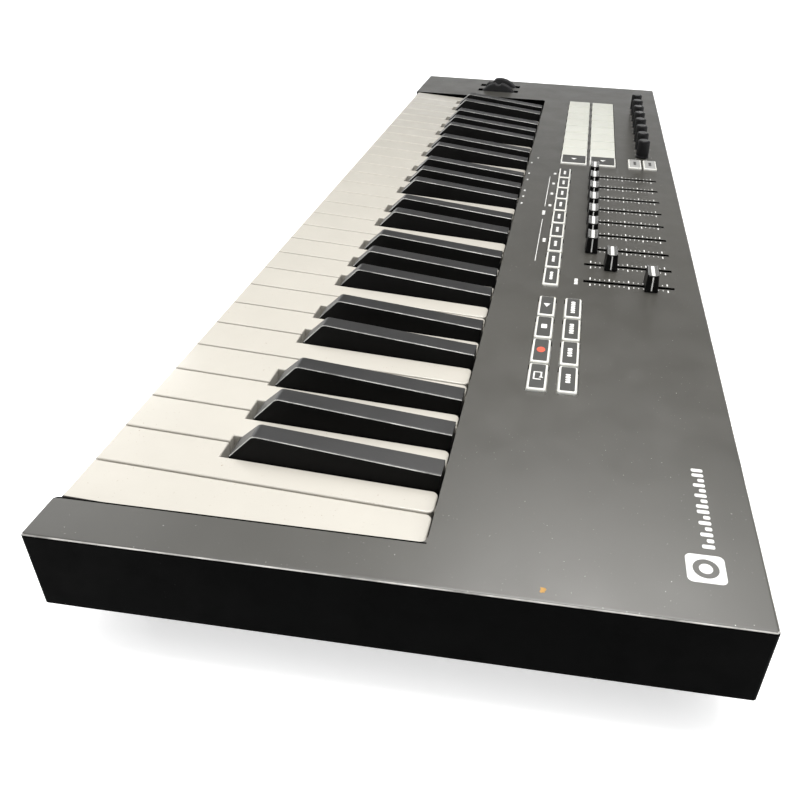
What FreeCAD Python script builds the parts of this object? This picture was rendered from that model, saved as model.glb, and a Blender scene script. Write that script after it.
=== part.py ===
import FreeCAD, Part
import math
import os
import Sketcher
from FreeCAD import Placement, Rotation, Vector

# A 49-key controller keyboard with pads, faders, knobs and two wheels.
# +X is the player's right, +Y the rear, +Z up. The origin is at the middle
# of the footprint, on the surface that the feet stand on.

os.makedirs("parts", exist_ok=True)
doc = FreeCAD.newDocument("ControllerKeyboard")
sheet = doc.addObject("Spreadsheet::Sheet", "Sizes")

SIZES = [
    # case
    ("case_width", 789), ("case_depth", 258), ("panel_top", 60), ("wall_bottom", 26),
    ("case_wall", 2.5), ("case_edge_radius", 1.2), ("case_corner_radius", 1.6),
    ("sill_top", 31), ("lid_gap", 0.3),
    # key opening in the case
    ("opening_right", 20.8), ("opening_length", 682.5), ("opening_depth", 140),
    ("opening_corner_radius", 3), ("cut_margin", 0.5),
    # keys, measured with the key flat, which is fully pressed
    ("key_pitch", 23.5), ("field_right", 21.3), ("white_width", 22.6), ("key_front", 2),
    ("notch_front", 47.4), ("key_rear", 137.5), ("pivot_depth", 175), ("pivot_height", 42),
    ("key_tilt", 3.29), ("white_top", 49.8), ("white_height", 17), ("white_skin", 1.6),
    ("white_notch_width", 14.6), ("white_rear_radius", 2.7), ("white_edge_radius", 0.7),
    ("white_tail_width", 5), ("tail_bottom", 38), ("tail_top", 46), ("tail_end", 179),
    ("black_width", 13.4), ("black_crown_width", 9.2), ("black_front", 50.8),
    ("black_slope_run", 9.6), ("black_crown", 60.3), ("black_crown_drop", 3.7),
    ("black_edge_radius", 0.9), ("black_nose_radius", 3), ("black_skin", 2.2), ("black_tail_width", 6),
    ("black_hollow_rise", 3.4),
    ("comb_bar_front", 180), ("comb_bar_rear", 186), ("comb_bar_end", 4),
    ("shaft_radius", 2), ("running_gap", 0.05),
    # key bed
    ("bed_bottom", 28.7), ("bed_thick", 2), ("bed_front", 6), ("bed_rear", 190),
    ("guide_width", 7), ("guide_front", 12), ("guide_depth", 8), ("guide_top", 44.6),
    ("rib_thick", 2), ("rib_depth", 8),
    # controls: pitch along the row, and where each row sits
    ("control_pitch", 25), ("first_fader", 252.5), ("transport_first", 138.2),
    ("button_length", 23.4), ("button_depth", 9.2), ("button_top", 61.5), ("button_gap", 0.45),
    ("transport_front", 170.8), ("transport_rear", 185.1), ("fader_button_row", 171),
    ("side_column", 492.5), ("side_button_front", 227.6), ("side_button_rear", 240),
    ("side_button_depth", 10.8),
    ("pad_first", 517.5), ("pad_length", 23.4), ("pad_depth", 21.6), ("pad_top", 61),
    ("pad_front_row", 177), ("pad_rear_row", 201), ("pad_edge_radius", 1),
    ("mat_bottom", 55.9), ("mat_top", 57.1), ("mat_margin", 1.2), ("key_foot_rise", 0.2),
    ("slot_front", 190), ("slot_length", 53), ("slot_width", 3),
    ("lever_thick", 1.2), ("lever_depth", 4), ("lever_bottom", 54.6),
    ("fader_rest_far", 194), ("fader_rest_eight", 206), ("fader_rest_nine", 229),
    ("fader_cap_width", 16), ("fader_cap_depth", 7.8), ("fader_cap_bottom", 60.5),
    ("fader_cap_top", 71), ("fader_cap_radius", 0.8), ("fader_dish_radius", 7), ("fader_dish_depth", 0.9),
    ("fader_cap_lean", 0.7), ("knob_chamfer", 0.8),
    ("knob_row", 234.6), ("knob_radius", 5.1), ("knob_bottom", 60.6), ("knob_top", 74.6),
    ("knob_skirt_radius", 5.5), ("knob_skirt_height", 0.6), ("knob_top_radius", 4.9),
    ("knob_groove_start", 1.6), ("knob_groove_width", 0.9), ("knob_groove_depth", 0.6),
    ("knob_hole_radius", 3.6), ("encoder_shaft_radius", 3), ("encoder_shaft_bottom", 54.6),
    # board
    ("board_bottom", 52), ("board_thick", 1.6), ("board_right", 125), ("board_left", 716),
    ("board_front", 152), ("board_rear", 244), ("pot_top", 57.2), ("pot_width", 8),
    ("pot_margin", 2), ("encoder_side", 11), ("pot_floor", 0.4), ("socket_bite", 0.2),
    ("screw_clearance", 0.2),
    # wheels
    ("wheel_pitch_place", 735), ("wheel_mod_place", 759), ("wheel_depth_place", 86),
    ("wheel_radius", 21), ("wheel_width", 9), ("wheel_axis_height", 47), ("wheel_bore", 3.05),
    ("wheel_gap", 1), ("axle_radius", 3), ("cradle_thick", 2.5), ("mod_lean", 28),
    ("notch_rise", 2.6), ("notch_radius", 4.6), ("wheel_chamfer", 0.7),
    # rear sockets
    ("jack_place", 560), ("jack_radius", 3.2), ("jack_length", 14), ("jack_side", 13),
    ("din_place", 600), ("din_radius", 7.6), ("din_side", 20), ("din_deep", 9),
    ("usb_place", 640), ("usb_width", 8.6), ("usb_height", 8), ("usb_side", 13),
    ("socket_height", 42), ("socket_front", 239), ("socket_rear", 255.2),
    # lower case, feet and fasteners
    ("tub_inset_top", 14), ("tub_inset_bottom", 22), ("tub_wall", 2.5), ("foot_height", 3),
    ("foot_radius", 9), ("foot_inset", 34), ("rim_thick", 2.4), ("post_radius", 5),
    ("boss_radius", 3.6), ("boss_inset", 9.2), ("screw_radius", 1.5), ("screw_head_radius", 2.8),
    ("screw_head_height", 2), ("screw_length", 12), ("board_screw_length", 5),
]


class Dim:
    """A length with the spreadsheet expression it comes from."""

    def __init__(self, value, text):
        self.value, self.text = float(value), text

    @staticmethod
    def of(other):
        return other if isinstance(other, Dim) else Dim(other, repr(float(other)))

    def _join(self, other, sign, result):
        return Dim(result, "(%s %s %s)" % (self.text, sign, Dim.of(other).text))

    def __add__(self, other):
        return self._join(other, "+", self.value + Dim.of(other).value)

    def __sub__(self, other):
        return self._join(other, "-", self.value - Dim.of(other).value)

    def __mul__(self, other):
        return self._join(other, "*", self.value * Dim.of(other).value)

    def __truediv__(self, other):
        return self._join(other, "/", self.value / Dim.of(other).value)

    def __neg__(self):
        return Dim.of(0) - self

    def __radd__(self, other):
        return Dim.of(other) + self

    def __rsub__(self, other):
        return Dim.of(other) - self


class Sizes:
    pass


S = Sizes()
for row, (alias, value) in enumerate(SIZES, start=1):
    sheet.set("A%d" % row, alias.replace("_", " "))
    sheet.set("B%d" % row, str(value))
    sheet.setAlias("B%d" % row, alias)
    setattr(S, alias, Dim(value, "Sizes." + alias))
doc.recompute()

NODES = []


def node(obj, label):
    """Register an object as a sub-part under its file name."""
    obj.Label = label
    NODES.append(obj)
    return obj


def bind(obj, prop, dim):
    """Set a size from the sheet, through an expression."""
    dim = Dim.of(dim)
    obj.setExpression(prop, dim.text)


def place(obj, position, rotation=None):
    """Put an object at a position whose three coordinates follow the sheet."""
    dims = [Dim.of(c) for c in position]
    obj.Placement = Placement(Vector(*[d.value for d in dims]), rotation or Rotation())
    for axis, dim in zip("xyz", dims):
        bind(obj, ".Placement.Base." + axis, dim)
    return obj


def box(name, low, high):
    """A box between two corners."""
    obj = doc.addObject("Part::Box", name)
    for prop, a, b in zip(("Length", "Width", "Height"), low, high):
        bind(obj, prop, Dim.of(b) - a)
    return place(obj, low)


def cylinder(name, centre, radius, height, axis="z"):
    """A cylinder that starts at a centre and runs along +X, +Y or +Z."""
    obj = doc.addObject("Part::Cylinder", name)
    bind(obj, "Radius", radius)
    bind(obj, "Height", height)
    turn = {
        "x": Rotation(Vector(0, 1, 0), 90),
        "y": Rotation(Vector(1, 0, 0), -90),
        "z": Rotation(),
    }[axis]
    return place(obj, centre, turn)


def wedge(name, low, high, crown_low, crown_high):
    """A block with a rectangular base and a smaller or larger crown above it.

    low and high are the base's corner and the crown's height; crown_low and
    crown_high are the crown's corners in plan.
    """
    obj = doc.addObject("Part::Wedge", name)
    height = Dim.of(high[2]) - low[2]
    rear = Dim.of(high[1])
    bind(obj, "Xmin", 0)
    bind(obj, "Xmax", Dim.of(high[0]) - low[0])
    bind(obj, "X2min", Dim.of(crown_low[0]) - low[0])
    bind(obj, "X2max", Dim.of(crown_high[0]) - low[0])
    bind(obj, "Ymin", 0)
    bind(obj, "Ymax", height)
    bind(obj, "Zmin", 0)
    bind(obj, "Zmax", rear - low[1])
    bind(obj, "Z2min", rear - crown_high[1])
    bind(obj, "Z2max", rear - crown_low[1])
    return place(obj, (low[0], rear, low[2]), Rotation(Vector(1, 0, 0), 90))


def fuse(name, shapes):
    if len(shapes) == 1:
        return shapes[0]
    obj = doc.addObject("Part::MultiFuse", name)
    obj.Shapes = shapes
    return obj


def group(name, shapes):
    """Several separate solids kept in one object."""
    obj = doc.addObject("Part::Compound", name)
    obj.Links = shapes
    return obj


def cut(name, base, tools):
    obj = doc.addObject("Part::Cut", name)
    obj.Base = base
    obj.Tool = fuse(name + "Tools", tools)
    return obj


def fillet(name, base, radius, wanted):
    """Round the edges of a base that the wanted test picks."""
    base.recompute(True)
    size = Dim.of(radius)
    obj = doc.addObject("Part::Fillet", name)
    obj.Base = base
    obj.Edges = [(i, size.value, size.value)
                 for i, edge in enumerate(base.Shape.Edges, start=1) if wanted(edge)]
    return obj


def ends(edge, axis):
    return [getattr(v.Point, axis) for v in edge.Vertexes]


def upright(edge):
    """True of a straight vertical edge."""
    xs, ys = ends(edge, "x"), ends(edge, "y")
    return len(xs) == 2 and abs(xs[0] - xs[1]) < 1e-6 and abs(ys[0] - ys[1]) < 1e-6


def crosswise(edge):
    """True of a straight edge along X."""
    ys, zs = ends(edge, "y"), ends(edge, "z")
    return len(ys) == 2 and abs(ys[0] - ys[1]) < 1e-6 and abs(zs[0] - zs[1]) < 1e-6


def level_at(edge, height):
    return all(abs(z - height) < 1e-4 for z in ends(edge, "z"))


def body_plane(body, role):
    return next(f for f in body.Origin.OriginFeatures if f.Role == role)


def outline(body, name, role, points, offset=0):
    """A closed sketch of straight lines whose corners follow the sheet."""
    sketch = body.newObject("Sketcher::SketchObject", name)
    sketch.AttachmentSupport = [(body_plane(body, role), "")]
    sketch.MapMode = "FlatFace"
    shift = Dim.of(offset)
    sketch.AttachmentOffset = Placement(Vector(0, 0, shift.value), Rotation())
    bind(sketch, ".AttachmentOffset.Base.z", shift)
    corners = [(Dim.of(x), Dim.of(y)) for x, y in points]
    count = len(corners)
    for i, (x, y) in enumerate(corners):
        nx, ny = corners[(i + 1) % count]
        sketch.addGeometry(Part.LineSegment(Vector(x.value, y.value, 0), Vector(nx.value, ny.value, 0)))
    for i in range(count):
        sketch.addConstraint(Sketcher.Constraint("Coincident", i, 2, (i + 1) % count, 1))
    for i, (x, y) in enumerate(corners):
        for kind, dim, tag in (("DistanceX", x, "across"), ("DistanceY", y, "along")):
            index = sketch.addConstraint(Sketcher.Constraint(kind, -1, 1, i, 1, dim.value))
            label = "%s%d" % (tag, i)
            sketch.renameConstraint(index, label)
            bind(sketch, "Constraints." + label, dim)
    return sketch


def ring(body, name, role, x, y, radius, offset=0):
    """A sketch of one circle."""
    sketch = body.newObject("Sketcher::SketchObject", name)
    sketch.AttachmentSupport = [(body_plane(body, role), "")]
    sketch.MapMode = "FlatFace"
    sketch.AttachmentOffset = Placement(Vector(0, 0, Dim.of(offset).value), Rotation())
    bind(sketch, ".AttachmentOffset.Base.z", offset)
    x, y, radius = Dim.of(x), Dim.of(y), Dim.of(radius)
    sketch.addGeometry(Part.Circle(Vector(x.value, y.value, 0), Vector(0, 0, 1), radius.value))
    for kind, args, dim, label in (
            ("Radius", (0, radius.value), radius, "round"),
            ("DistanceX", (-1, 1, 0, 3, x.value), x, "across"),
            ("DistanceY", (-1, 1, 0, 3, y.value), y, "along")):
        index = sketch.addConstraint(Sketcher.Constraint(kind, *args))
        sketch.renameConstraint(index, label)
        bind(sketch, "Constraints." + label, dim)
    return sketch


def pad(body, name, sketch, length, reverse=False, both=False):
    obj = body.newObject("PartDesign::Pad", name)
    obj.Profile = sketch
    obj.Length = Dim.of(length).value
    obj.Reversed = reverse
    obj.Midplane = both
    bind(obj, "Length", length)
    return obj


def pocket(body, name, sketch, length, reverse=False, both=False):
    obj = body.newObject("PartDesign::Pocket", name)
    obj.Profile = sketch
    obj.Length = Dim.of(length).value
    obj.Reversed = reverse
    obj.Midplane = both
    bind(obj, "Length", length)
    return obj


def across(distance_from_right):
    """X of a place given by its distance from the right-hand end."""
    return S.case_width / 2 - distance_from_right


def along(distance_from_front):
    """Y of a place given by its distance from the front edge."""
    return Dim.of(distance_from_front) - S.case_depth / 2


# ---- keys -------------------------------------------------------------------

NOTES = "cdefgab"
OCTAVES = 4
WHITE_COUNT = 7 * OCTAVES + 1
# The notes with a black key above them, and that black key's place among the
# octave's twelve equally wide key tails.
SHARPS = {"c": 1, "d": 3, "f": 6, "g": 8, "a": 10}
KEY_TURN = Rotation(Vector(1, 0, 0), -S.key_tilt.value)


def key_left(index):
    """X of the left side of white key number index, counted from the left."""
    return across(S.field_right + S.key_pitch * (WHITE_COUNT - index))


def sharp_shift(note):
    """How far a black key's middle stands from the line between its neighbours."""
    step = NOTES.index(note) + 1
    return S.key_pitch * (7 / 12 * (SHARPS[note] + 0.5)) - S.key_pitch * step


def white_key(index):
    """A hollow white key on its tail, with a bore for the hinge shaft."""
    note = NOTES[index % 7]
    label = "white_%s%d" % (note, index // 7 + 1)
    last = index == WHITE_COUNT - 1
    side_gap = (S.key_pitch - S.white_width) / 2
    half_notch = S.white_notch_width / 2
    left_notch, right_notch = Dim.of(0), Dim.of(0)
    if note in SHARPS and not last:
        right_notch = half_notch - side_gap - sharp_shift(note)
    before = NOTES[(index - 1) % 7]
    if before in SHARPS and index > 0:
        left_notch = half_notch - side_gap + sharp_shift(before)
    front = S.key_front - S.pivot_depth
    notch = S.notch_front - S.pivot_depth
    rear = S.key_rear - S.pivot_depth
    top = S.white_top - S.pivot_height
    skin = S.white_skin
    width = S.white_width

    def plan(inset):
        left, right = left_notch + inset, width - right_notch - inset
        points = [(Dim.of(0) + inset, front + inset), (width - inset, front + inset)]
        if right_notch.value > 0:
            points += [(width - inset, notch - inset), (right, notch - inset)]
        points += [(right, rear - inset), (left, rear - inset)]
        if left_notch.value > 0:
            points += [(left, notch - inset), (Dim.of(0) + inset, notch - inset)]
        return points

    body = doc.addObject("PartDesign::Body", label)
    face = outline(body, label + "Plan", "XY_Plane", plan(Dim.of(0)), top)
    pad(body, label + "Block", face, S.white_height, reverse=True)
    inner = outline(body, label + "Inner", "XY_Plane", plan(skin), top - S.white_height)
    pocket(body, label + "Hollow", inner, S.white_height - skin, reverse=True)
    middle = (left_notch + width - right_notch) / 2
    tail_left = middle - S.white_tail_width / 2
    low, high = S.tail_bottom - S.pivot_height, S.tail_top - S.pivot_height
    tail_end = S.tail_end - S.pivot_depth
    side = outline(body, label + "Side", "YZ_Plane",
                   [(rear - skin / 2, low), (tail_end, low), (tail_end, high), (rear - skin / 2, high)],
                   tail_left)
    pad(body, label + "Tail", side, S.white_tail_width)
    hole = ring(body, label + "Ring", "YZ_Plane", 0, 0, S.shaft_radius + S.running_gap,
                tail_left - 1)
    pocket(body, label + "Bore", hole, S.white_tail_width + 2, reverse=True)
    body.recompute(True)
    tip = body.Tip
    picked = []
    for number, edge in enumerate(tip.Shape.Edges, start=1):
        ys = ends(edge, "y")
        at_rear = all(abs(y - rear.value) < 1e-4 for y in ys)
        zs = ends(edge, "z")
        if at_rear and upright(edge) and abs(zs[0] - zs[1]) > 12:
            picked.append("Edge%d" % number)
    corners = body.newObject("PartDesign::Fillet", label + "Corners")
    corners.Base = (tip, picked)
    corners.Radius = S.white_rear_radius.value
    bind(corners, "Radius", S.white_rear_radius)
    body.recompute(True)
    top_edges = ["Edge%d" % number for number, edge in enumerate(corners.Shape.Edges, start=1)
                 if level_at(edge, top.value)]
    soft = body.newObject("PartDesign::Fillet", label + "Edges")
    soft.Base = (corners, top_edges)
    soft.Radius = S.white_edge_radius.value
    bind(soft, "Radius", S.white_edge_radius)
    body.Tip = soft
    place(body, (key_left(index) + side_gap, along(S.pivot_depth), S.pivot_height), KEY_TURN)
    return node(body, label)


def black_comb(octave):
    """Five black keys moulded on one bar, in the comb's own frame at the hinge."""
    label = "black_comb_%d" % octave
    rear = S.key_rear - S.pivot_depth
    front = S.black_front - S.pivot_depth
    level = S.white_top - S.pivot_height
    crown = S.black_crown - S.pivot_height
    low, high = S.tail_bottom - S.pivot_height, S.tail_top - S.pivot_height
    half, crown_half = S.black_width / 2, S.black_crown_width / 2
    pieces, hollows, middles = [], [], []
    drop_angle = math.degrees(math.atan2(S.black_crown_drop.value,
                                         (S.key_rear - S.black_front - S.black_slope_run).value))
    for step, note in enumerate(NOTES):
        if note not in SHARPS:
            continue
        tag = "%s%s" % (label, note)
        middle = S.key_pitch * (step + 1) + sharp_shift(note)
        middles.append(middle)
        crown_block = wedge(tag + "Crown", (middle - half, front, level), (middle + half, rear, crown),
                            (middle - crown_half, front + S.black_slope_run),
                            (middle + crown_half, rear))
        slope = box(tag + "Slope", (middle - S.black_width, 0, 0),
                    (middle + S.black_width, S.key_rear - S.black_front + 10, 12))
        place(slope, (middle - S.black_width, front + S.black_slope_run - 0.01, crown),
              Rotation(Vector(1, 0, 0), -drop_angle))
        sloped = cut(tag + "Top", crown_block, [slope])
        nose = fillet(tag + "Nose", sloped, S.black_nose_radius,
                      lambda e, z=level.value: crosswise(e) and min(ends(e, "z")) > z + 1 and
                      max(ends(e, "y")) < rear.value - 1)
        rounded = fillet(tag + "Round", nose, S.black_edge_radius,
                         lambda e, z=level.value: not crosswise(e) and max(ends(e, "z")) > z + 1 and
                         min(ends(e, "y")) < rear.value - 1)
        skirt = box(tag + "Skirt", (middle - half, front, low), (middle + half, rear, level))
        tail = box(tag + "Tail", (middle - S.black_tail_width / 2, rear - S.black_skin, low),
                   (middle + S.black_tail_width / 2, S.comb_bar_rear - S.pivot_depth, high))
        pieces += [rounded, skirt, tail]
        hollows.append(box(tag + "Hollow",
                           (middle - half + S.black_skin, front + S.black_slope_run + 1, low - 1),
                           (middle + half - S.black_skin, rear - S.black_skin, level + S.black_hollow_rise)))
    bar = box(label + "Bar", (middles[0] - S.comb_bar_end, S.comb_bar_front - S.pivot_depth, low),
              (middles[-1] + S.comb_bar_end, S.comb_bar_rear - S.pivot_depth, high - 2))
    solid = fuse(label + "Solid", pieces + [bar])
    bore = cylinder(label + "Bore", (0, 0, 0), S.shaft_radius + S.running_gap, S.key_pitch * 7, "x")
    comb = cut(label, solid, hollows + [bore])
    place(comb, (key_left(7 * octave - 7), along(S.pivot_depth), S.pivot_height), KEY_TURN)
    return node(comb, label)


def key_frame():
    """The key bed, its front guides and the hinge shaft in its ribs."""
    left, right = across(S.opening_right + S.opening_length), across(S.opening_right)
    bed_top = S.bed_bottom + S.bed_thick
    pieces = [box("Bed", (left, along(S.bed_front), S.bed_bottom), (right, along(S.bed_rear), bed_top))]
    for i in range(WHITE_COUNT):
        middle = key_left(i) + S.key_pitch / 2
        pieces.append(box("Guide%d" % (i + 1), (middle - S.guide_width / 2, along(S.guide_front), bed_top),
                          (middle + S.guide_width / 2, along(S.guide_front + S.guide_depth), S.guide_top)))
    # A rib stands beside each pair of white keys with no black key between them.
    lines = [0] + [i for i in range(1, WHITE_COUNT) if NOTES[(i - 1) % 7] in "eb"] + [WHITE_COUNT]
    for i in lines:
        line = key_left(i)
        pieces.append(box("Rib%d" % i,
                          (line - S.rib_thick / 2, along(S.pivot_depth - S.rib_depth / 2), bed_top),
                          (line + S.rib_thick / 2, along(S.pivot_depth + S.rib_depth / 2), S.tail_top)))
    pieces.append(cylinder("HingeShaft",
                           (key_left(0) - S.rib_thick / 2, along(S.pivot_depth), S.pivot_height),
                           S.shaft_radius, S.key_pitch * WHITE_COUNT + S.rib_thick, "x"))
    return node(fuse("key_frame", pieces), "key_frame")


# ---- control layout ---------------------------------------------------------

FADERS = range(1, 10)
KNOBS = range(1, 9)


def fader_x(number):
    """Fader 1 is the farthest from the right-hand end."""
    return across(S.first_fader + S.control_pitch * (9 - number))


def fader_rest(number):
    return {9: S.fader_rest_nine, 8: S.fader_rest_eight}.get(number, S.fader_rest_far)


def knob_x(number):
    return across(S.pad_first + S.control_pitch * (8 - number))


def pad_places():
    """The middles of the sixteen pads."""
    return [(across(S.pad_first + S.control_pitch * i), along(row))
            for row in (S.pad_front_row, S.pad_rear_row) for i in range(8)]


def button_groups():
    """Button middles and sizes, in the three groups that share a mat."""
    small = (S.button_length, S.button_depth)
    deep = (S.button_length, S.side_button_depth)
    large = (S.pad_length, S.pad_depth)
    transport = [(across(S.transport_first + S.control_pitch * i), along(row), small)
                 for row in (S.transport_front, S.transport_rear) for i in range(4)]
    fader_row = [(fader_x(n), along(S.fader_button_row), small) for n in FADERS]
    side = [(across(S.side_column), along(v), size)
            for v, size in ((S.pad_front_row, large), (S.pad_rear_row, large),
                            (S.side_button_front, deep), (S.side_button_rear, deep))]
    return {"Transport": transport, "FaderRow": fader_row, "Side": side}


def raised(name, middle, size, low, high, grow=0):
    """An upright block centred on a place, with its sides moved out by grow."""
    x, y = middle
    half_x, half_y = size[0] / 2 + grow, size[1] / 2 + grow
    return box(name, (x - half_x, y - half_y, low), (x + half_x, y + half_y, high))


def rounded_key(name, middle, size, low, high, radius):
    """A raised rubber key with its upright and top edges rounded."""
    block = raised(name + "Block", middle, size, low, high)
    return fillet(name, block, radius, lambda e, z=Dim.of(high).value: upright(e) or level_at(e, z))


def pad_mat():
    keys = [rounded_key("Pad%d" % (i + 1), place_, (S.pad_length, S.pad_depth),
                        S.mat_bottom + S.key_foot_rise, S.pad_top, S.pad_edge_radius)
            for i, place_ in enumerate(pad_places())]
    margin = S.mat_margin
    low_x = across(S.pad_first + S.control_pitch * 7) - S.pad_length / 2 - margin
    high_x = across(S.pad_first) + S.pad_length / 2 + margin / 4
    base = box("PadSheet",
               (low_x, along(S.pad_front_row) - S.pad_depth / 2 - margin, S.mat_bottom),
               (high_x, along(S.pad_rear_row) + S.pad_depth / 2 + margin, S.mat_top))
    return node(fuse("pad_mat", [base] + keys), "pad_mat")


def button_mats():
    mats = []
    margin = S.mat_margin
    for title, places in button_groups().items():
        keys = [rounded_key("%s%d" % (title, i + 1), (x, y), size, S.mat_bottom + S.key_foot_rise,
                            S.button_top, S.pad_edge_radius) for i, (x, y, size) in enumerate(places)]
        low_x = min((x - size[0] / 2 for x, y, size in places), key=lambda d: d.value)
        high_x = max((x + size[0] / 2 for x, y, size in places), key=lambda d: d.value)
        low_y = min((y - size[1] / 2 for x, y, size in places), key=lambda d: d.value)
        high_y = max((y + size[1] / 2 for x, y, size in places), key=lambda d: d.value)
        # The side mat stands close to the pads' mat, so its margin is small there.
        side_margin = margin / 4 if title == "Side" else margin
        base = box(title + "Sheet", (low_x - side_margin, low_y - margin, S.mat_bottom),
                   (high_x + margin, high_y + margin, S.mat_top))
        mats.append(fuse(title + "Mat", [base] + keys))
    return node(group("button_mats", mats), "button_mats")


def fader_cap(number):
    """A cap with a dished top on a flat lever."""
    label = "fader_cap_%d" % number
    x, y = fader_x(number), along(fader_rest(number))
    half_w, half_d = S.fader_cap_width / 2, S.fader_cap_depth / 2
    height, lean = S.fader_cap_top - S.fader_cap_bottom, S.fader_cap_lean
    block = wedge(label + "Block", (-half_w, -half_d, 0), (half_w, half_d, height),
                  (-half_w + lean, -half_d + lean), (half_w - lean, half_d - lean))
    rounded = fillet(label + "Round", block, S.fader_cap_radius,
                     lambda e: max(ends(e, "z")) > 1)
    dish = cylinder(label + "Dish",
                    (-half_w - 1, 0, height + S.fader_dish_radius - S.fader_dish_depth),
                    S.fader_dish_radius, S.fader_cap_width + 2, "x")
    dished = cut(label + "Dished", rounded, [dish])
    lever = box(label + "Lever",
                (-S.lever_thick / 2, -S.lever_depth / 2, S.lever_bottom - S.fader_cap_bottom),
                (S.lever_thick / 2, S.lever_depth / 2, 1))
    cap = fuse(label, [dished, lever])
    place(cap, (x, y, S.fader_cap_bottom))
    return node(cap, label)


def knob(number):
    """A turned knob with a skirt and a pointer groove, on its encoder's shaft."""
    label = "knob_%d" % number
    height = S.knob_top - S.knob_bottom
    groove = S.knob_groove_width / 2
    body = doc.addObject("PartDesign::Body", label)
    sketch = outline(body, label + "Section", "XZ_Plane", [
        (Dim.of(0), S.encoder_shaft_bottom - S.knob_bottom),
        (S.encoder_shaft_radius, S.encoder_shaft_bottom - S.knob_bottom),
        (S.encoder_shaft_radius, Dim.of(0)),
        (S.knob_skirt_radius, Dim.of(0)), (S.knob_skirt_radius, S.knob_skirt_height),
        (S.knob_radius, S.knob_skirt_height + S.knob_chamfer),
        (S.knob_top_radius, height - S.knob_chamfer),
        (S.knob_top_radius - S.knob_chamfer, height), (Dim.of(0), height)])
    turned = body.newObject("PartDesign::Revolution", label + "Turned")
    turned.Profile = sketch
    turned.ReferenceAxis = (sketch, ["V_Axis"])
    turned.Angle = 360
    mark = outline(body, label + "Mark", "XY_Plane", [
        (-groove, S.knob_groove_start), (groove, S.knob_groove_start),
        (groove, S.knob_radius + 1), (-groove, S.knob_radius + 1)], height - S.knob_groove_depth)
    pocket(body, label + "Groove", mark, 2, reverse=True)
    place(body, (knob_x(number), along(S.knob_row), S.knob_bottom))
    return node(body, label)


def wheel(label, place_from_right, lean):
    """A wheel with a finger notch across its rim, on a plain bore.

    lean turns the notch towards the player, in degrees.
    """
    body = doc.addObject("PartDesign::Body", label)
    half = S.wheel_width / 2
    rim = ring(body, label + "Rim", "YZ_Plane", 0, 0, S.wheel_radius, -half)
    pad(body, label + "Disc", rim, S.wheel_width)
    bore = ring(body, label + "Ring", "YZ_Plane", 0, 0, S.wheel_bore, -half - 1)
    pocket(body, label + "Bore", bore, S.wheel_width + 2, reverse=True)
    notch = ring(body, label + "Notch", "YZ_Plane", 0, S.wheel_radius + S.notch_rise, S.notch_radius,
                 -half - 1)
    pocket(body, label + "Finger", notch, S.wheel_width + 2, reverse=True)
    body.recompute(True)
    tip = body.Tip
    edges = ["Edge%d" % n for n, e in enumerate(tip.Shape.Edges, start=1)
             if min(v.Point.Length for v in e.Vertexes) > S.wheel_bore.value + 5
             and max(ends(e, "x")) - min(ends(e, "x")) < 1e-4]
    soft = body.newObject("PartDesign::Chamfer", label + "Edge")
    soft.Base = (tip, edges)
    soft.Size = S.wheel_chamfer.value
    bind(soft, "Size", S.wheel_chamfer)
    body.Tip = soft
    place(body, (across(place_from_right), along(S.wheel_depth_place), S.wheel_axis_height),
          Rotation(Vector(1, 0, 0), lean))
    return node(body, label)


# ---- case, board and fasteners ----------------------------------------------

def screw_places():
    """Where the case screws go up into the upper case."""
    inset = S.boss_inset
    near, far = inset, S.case_width - inset
    places = [(near, Dim.of(14)), (near, Dim.of(130)), (far, Dim.of(14)), (far, Dim.of(130))]
    places += [(u, S.case_depth - inset) for u in (near, Dim.of(220), Dim.of(400), Dim.of(700), far)]
    return [(across(u), along(v)) for u, v in places]


def board_places():
    """Where the board hangs on the panel, clear of every control."""
    return [(across(u), along(v)) for u, v in (
        (Dim.of(130), Dim.of(206)), (Dim.of(232), Dim.of(206)), (Dim.of(474), Dim.of(190)),
        (Dim.of(474), Dim.of(238)), (Dim.of(711), Dim.of(180)), (Dim.of(711), Dim.of(236)))]


def bed_posts():
    """Posts of the lower case that carry the rear of the key bed."""
    return [(across(u), along(Dim.of(184))) for u in (60, 200, 360, 520, 670)]


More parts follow.
